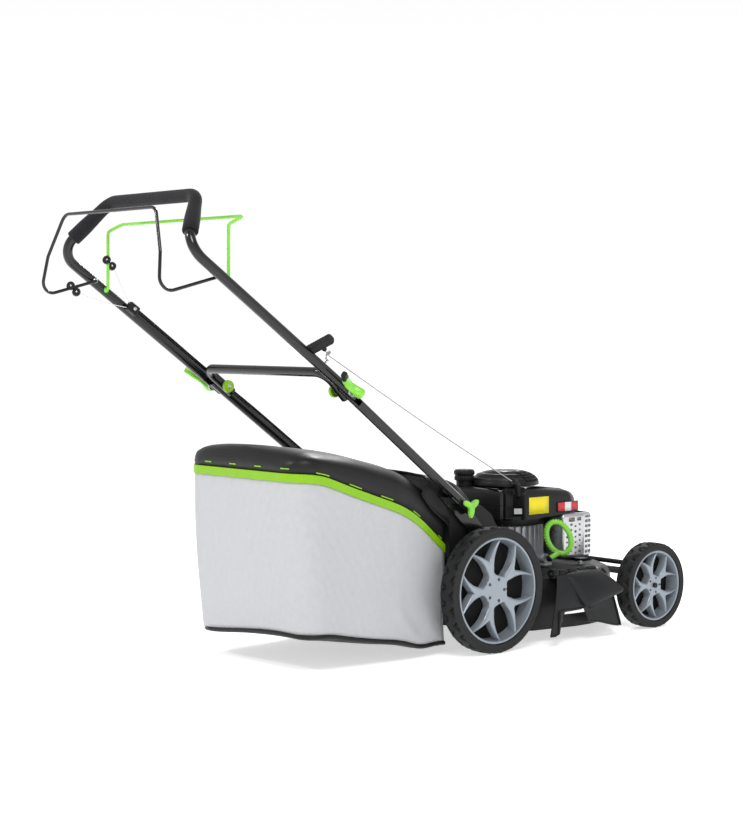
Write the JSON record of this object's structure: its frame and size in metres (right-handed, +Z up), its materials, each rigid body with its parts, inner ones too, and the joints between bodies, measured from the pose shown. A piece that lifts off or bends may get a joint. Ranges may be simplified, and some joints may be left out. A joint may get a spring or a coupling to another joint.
{
  "type": "lawn mower",
  "caption": "Walk-behind petrol lawn mower with a folding handle, control bails, height setting, side outlet and a rear grass catcher.",
  "frame": {"origin": "on the ground below the middle of the mower's box", "axes": "+X forward, away from the operator; +Y to the operator's left; +Z up"},
  "size_m": [1.4959, 0.5658, 0.996],
  "materials": {
    "deck": "satin black enamel",
    "rear_housing": "moulded black",
    "handle_bracket": "satin black enamel",
    "front_cover": "moulded black",
    "crankcase": "cast light alloy, bead-blasted",
    "cylinder_block": "cast fins",
    "muffler_guard": "punched sheet",
    "muffler": "heat-tinted sheet",
    "engine_cowl": "moulded satin",
    "recoil_dome": "moulded satin",
    "fuel_tank": "moulded satin",
    "air_filter_box": "moulded satin",
    "rope_outlet": "moulded",
    "starter_rope": "braided cord",
    "crankshaft": "turned",
    "flywheel": "cast",
    "blade_bolt": "zinc plated",
    "blade": "ground steel",
    "rear_axle": "zinc plated",
    "gearbox": "cast",
    "rear_crank_r": "satin black",
    "height_lever": "satin black",
    "height_link": "satin black",
    "front_axle": "zinc plated",
    "tyre": "ribbed rubber",
    "rim": "painted silver-grey",
    "bag_base": "moulded black",
    "bag_fabric": "light grey mesh",
    "bag_frame": "coated wire",
    "bag_lid": "moulded dark grey",
    "bag_trim": "lime green",
    "rear_flap": "moulded dark grey",
    "side_chute": "moulded dark grey",
    "lower_tube": "gloss black enamel",
    "upper_tube": "gloss black enamel",
    "crossbar": "satin black enamel",
    "foam_grip": "closed-cell foam",
    "cable_clip": "moulded",
    "rope_guide": "bright wire",
    "cam_bolt": "lime green nut",
    "cam_lever": "lime green",
    "wing_knob": "lime green",
    "brake_bail": "black coated wire",
    "drive_bail": "green coated wire",
    "brake_cable": "sheathed cable",
    "drive_cable": "sheathed cable",
    "starter_grip": "moulded",
    "fuel_cap": "moulded, ribbed",
    "dipstick": "lime green"
  },
  "bodies": {
    "chassis": {"deck": "deck", "rear_housing": "rear_housing", "handle_bracket_l": "handle_bracket", "handle_bracket_r": "handle_bracket", "front_cover": "front_cover", "crankcase": "crankcase", "cylinder_block": "cylinder_block", "muffler": "muffler", "muffler_guard": "muffler_guard", "engine_cowl": "engine_cowl", "recoil_dome": "recoil_dome", "fuel_tank": "fuel_tank", "air_filter_box": "air_filter_box", "rope_outlet": "rope_outlet", "starter_rope": "starter_rope"},
    "crank": {"crankshaft": "crankshaft", "flywheel": "flywheel", "blade": "blade", "blade_bolt": "blade_bolt"},
    "rear_carrier": {"rear_axle": "rear_axle", "gearbox": "gearbox", "rear_crank_r": "rear_crank_r", "height_lever": "height_lever"},
    "front_carrier": {"front_axle": "front_axle"},
    "height_rod": {"height_link": "height_link"},
    "rear_wheel_l": {"tyre_rear_l": "tyre", "rim_rear_l": "rim"},
    "rear_wheel_r": {"tyre_rear_r": "tyre", "rim_rear_r": "rim"},
    "front_wheel_l": {"tyre_front_l": "tyre", "rim_front_l": "rim"},
    "front_wheel_r": {"tyre_front_r": "tyre", "rim_front_r": "rim"},
    "catcher": {"bag_base": "bag_base", "bag_fabric": "bag_fabric", "bag_frame": "bag_frame", "bag_lid": "bag_lid", "bag_trim": "bag_trim"},
    "flap": {"rear_flap": "rear_flap"},
    "chute": {"side_chute": "side_chute"},
    "lower_handle": {"lower_tube_l": "lower_tube", "lower_tube_r": "lower_tube", "brake_cable": "brake_cable", "drive_cable": "drive_cable"},
    "upper_handle": {"upper_tube": "upper_tube", "foam_grip": "foam_grip", "crossbar": "crossbar", "cable_clip": "cable_clip", "rope_guide": "rope_guide", "cam_bolt_l": "cam_bolt", "cam_bolt_r": "cam_bolt"},
    "knob_l": {"wing_knob_l": "wing_knob"},
    "knob_r": {"wing_knob_r": "wing_knob"},
    "cam_l": {"cam_lever_l": "cam_lever"},
    "cam_r": {"cam_lever_r": "cam_lever"},
    "brake_control": {"brake_bail": "brake_bail"},
    "drive_control": {"drive_bail": "drive_bail"},
    "starter_pull": {"starter_grip": "starter_grip"},
    "filler_cap": {"fuel_cap": "fuel_cap"},
    "oil_stick": {"dipstick": "dipstick"}
  },
  "joints": [
    {"name": "blade_spin", "type": "hinge", "parent": "chassis", "child": "crank", "pos_m": [0.4075, 0, 0.2], "axis": [0, 0, 1], "continuous": true},
    {"name": "height_adjust", "type": "hinge", "parent": "chassis", "child": "rear_carrier", "pos_m": [0.1735, 0, 0.175], "axis": [0, 1, 0], "range_deg": [-14, 12]},
    {"name": "front_height", "type": "hinge", "parent": "chassis", "child": "front_carrier", "pos_m": [0.7055, 0, 0.137], "axis": [0, 1, 0], "range_deg": [-14, 12]},
    {"name": "height_rod_pivot", "type": "hinge", "parent": "rear_carrier", "child": "height_rod", "pos_m": [0.1945, 0.2125, 0.21], "axis": [0, 1, 0], "range_deg": [-12, 14]},
    {"name": "rear_wheel_l_spin", "type": "hinge", "parent": "rear_carrier", "child": "rear_wheel_l", "pos_m": [0.1135, 0.244, 0.14], "axis": [0, 1, 0], "continuous": true},
    {"name": "rear_wheel_r_spin", "type": "hinge", "parent": "rear_carrier", "child": "rear_wheel_r", "pos_m": [0.1135, -0.244, 0.14], "axis": [0, 1, 0], "continuous": true},
    {"name": "front_wheel_l_spin", "type": "hinge", "parent": "front_carrier", "child": "front_wheel_l", "pos_m": [0.6455, 0.244, 0.102], "axis": [0, 1, 0], "continuous": true},
    {"name": "front_wheel_r_spin", "type": "hinge", "parent": "front_carrier", "child": "front_wheel_r", "pos_m": [0.6455, -0.244, 0.102], "axis": [0, 1, 0], "continuous": true},
    {"name": "catcher_slide", "type": "slide", "parent": "chassis", "child": "catcher", "axis": [-1, 0, 0], "range_m": [0, 0.35]},
    {"name": "flap_hinge", "type": "hinge", "parent": "chassis", "child": "flap", "pos_m": [0.1495, 0, 0.334], "axis": [0, 1, 0], "range_deg": [0, 24]},
    {"name": "chute_hinge", "type": "hinge", "parent": "chassis", "child": "chute", "pos_m": [0.4085, -0.236, 0.156], "axis": [-1, 0, 0], "range_deg": [0, 80], "stiffness_Nm_per_rad": 0.12, "springref_deg": -34.38},
    {"name": "lower_fold", "type": "hinge", "parent": "chassis", "child": "lower_handle", "pos_m": [0.0632, 0, 0.3263], "axis": [0, -1, 0], "range_deg": [-120, 0]},
    {"name": "upper_fold", "type": "hinge", "parent": "lower_handle", "child": "upper_handle", "pos_m": [-0.2905, 0, 0.588], "axis": [0, 1, 0], "range_deg": [0, 140], "deforming": ["brake_cable", "drive_cable"]},
    {"name": "knob_l_turn", "type": "hinge", "parent": "chassis", "child": "knob_l", "pos_m": [0.0632, 0.2285, 0.3263], "axis": [0, 1, 0], "continuous": true},
    {"name": "knob_r_turn", "type": "hinge", "parent": "chassis", "child": "knob_r", "pos_m": [0.0632, -0.2285, 0.3263], "axis": [0, 1, 0], "continuous": true},
    {"name": "cam_l_clamp", "type": "hinge", "parent": "upper_handle", "child": "cam_l", "pos_m": [-0.2905, 0.2619, 0.588], "axis": [-0.5821, 0, -0.8131], "range_deg": [0, 110]},
    {"name": "cam_r_clamp", "type": "hinge", "parent": "upper_handle", "child": "cam_r", "pos_m": [-0.2905, -0.2619, 0.588], "axis": [0.5821, 0, 0.8131], "range_deg": [0, 110]},
    {"name": "brake_squeeze", "type": "hinge", "parent": "upper_handle", "child": "brake_control", "pos_m": [-0.6125, 0, 0.8185], "axis": [0, 1, 0], "range_deg": [0, 30], "stiffness_Nm_per_rad": 1.2, "springref_deg": -40.11},
    {"name": "drive_squeeze", "type": "hinge", "parent": "upper_handle", "child": "drive_control", "pos_m": [-0.5855, 0, 0.7992], "axis": [0, 1, 0], "range_deg": [-30, 0], "stiffness_Nm_per_rad": 1.2, "springref_deg": 28.65},
    {"name": "starter_draw", "type": "slide", "parent": "upper_handle", "child": "starter_pull", "axis": [-0.7226, -0.3011, 0.6222], "range_m": [0, 0.6], "stiffness_N_per_m": 12, "springref_m": -0.2, "deforming": ["starter_rope"]},
    {"name": "cap_turn", "type": "hinge", "parent": "chassis", "child": "filler_cap", "pos_m": [0.3055, 0.046, 0.36], "axis": [0, 0, 1], "continuous": true},
    {"name": "dipstick_draw", "type": "slide", "parent": "chassis", "child": "oil_stick", "axis": [0, -1, 0], "range_m": [0, 0.1]}
  ],
  "couplings": [
    {"joint": "front_height", "follows": "height_adjust", "ratio": 1},
    {"joint": "height_rod_pivot", "follows": "height_adjust", "ratio": -1}
  ]
}
